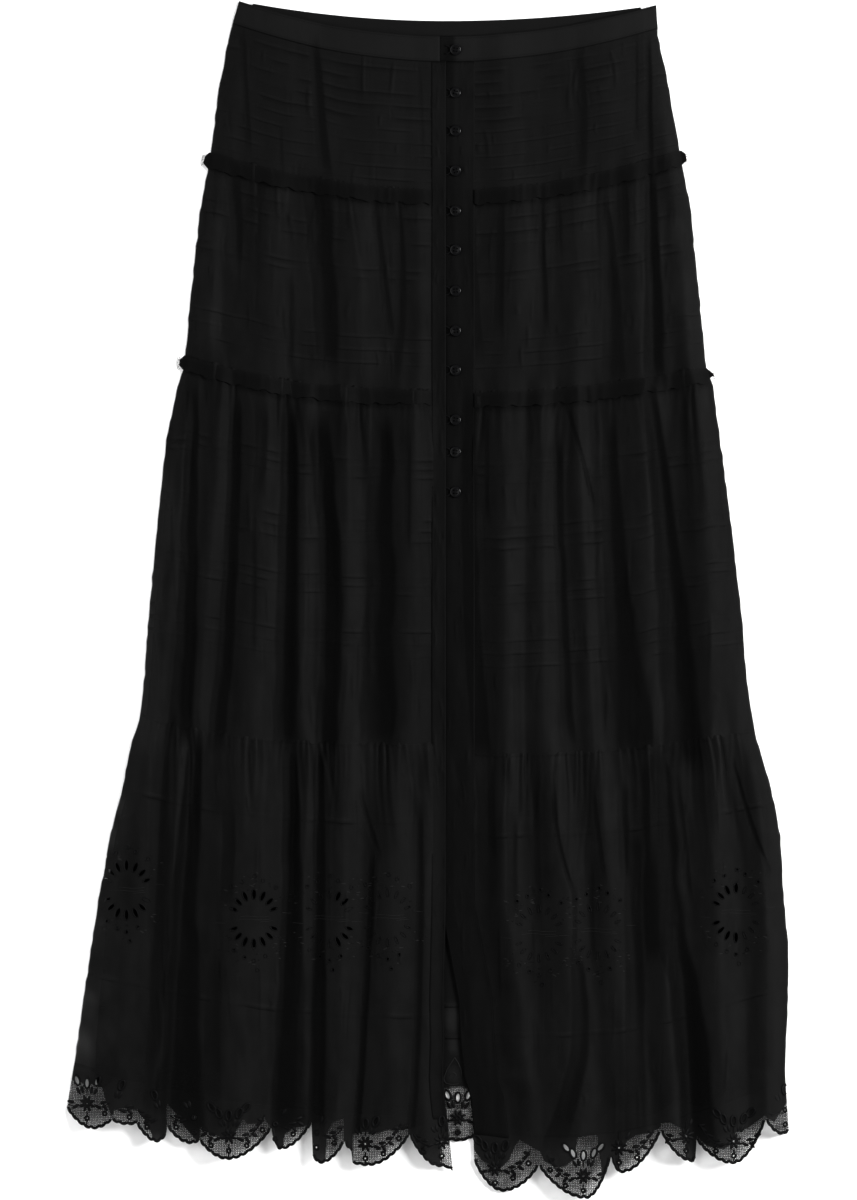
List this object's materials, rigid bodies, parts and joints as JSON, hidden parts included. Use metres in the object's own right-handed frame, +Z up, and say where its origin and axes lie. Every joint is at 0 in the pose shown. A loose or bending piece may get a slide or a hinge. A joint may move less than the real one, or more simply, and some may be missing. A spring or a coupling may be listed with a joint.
{
  "type": "maxi skirt",
  "caption": "Black sheer cotton maxi skirt laid flat: gathered tiers with pintucks, ruffled trims, buttoned front with a low slit, eyelet flounce and sheer scalloped border",
  "frame": {"origin": "on the surface the skirt lies on, below the middle of its bounding box", "axes": "+X to the right of the skirt as it is seen from above, +Y towards the waistband, +Z up from the surface, towards the front of the garment"},
  "size_m": [0.6244, 1.0345, 0.0213],
  "materials": {
    "voile": "thin crisp black cotton voile, matt, slightly see-through, with sewn tucks",
    "sheer_border": "black embroidered net, sheer, with a corded scalloped edge",
    "band_cotton": "black cotton folded double, topstitched",
    "buttons": "polished black shell-like plastic"
  },
  "bodies": {
    "root": {"waistband_back": "band_cotton", "tier_1_back": "voile", "tier_2_back": "voile", "tier_3_back": "voile", "tier_4_back": "voile", "trim_1_back": "voile", "trim_2_back": "voile", "border_back": "sheer_border", "waistband_front_left": "band_cotton", "tier_1_front_left": "voile", "tier_2_front_left": "voile", "tier_3_front_left": "voile", "tier_4_front_left": "voile", "trim_1_front_left": "voile", "trim_2_front_left": "voile", "border_front_left": "sheer_border", "button_strip_left": "voile", "waistband_front_right": "band_cotton", "tier_1_front_right": "voile", "tier_2_front_right": "voile", "tier_3_front_right": "voile", "tier_4_front_right": "voile", "trim_1_front_right": "voile", "trim_2_front_right": "voile", "border_front_right": "sheer_border", "button_strip_right": "voile", "button_01": "buttons", "button_02": "buttons", "button_03": "buttons", "button_04": "buttons", "button_05": "buttons", "button_06": "buttons", "button_07": "buttons", "button_08": "buttons", "button_09": "buttons", "button_10": "buttons", "button_11": "buttons", "button_12": "buttons"}
  },
  "joints": []
}
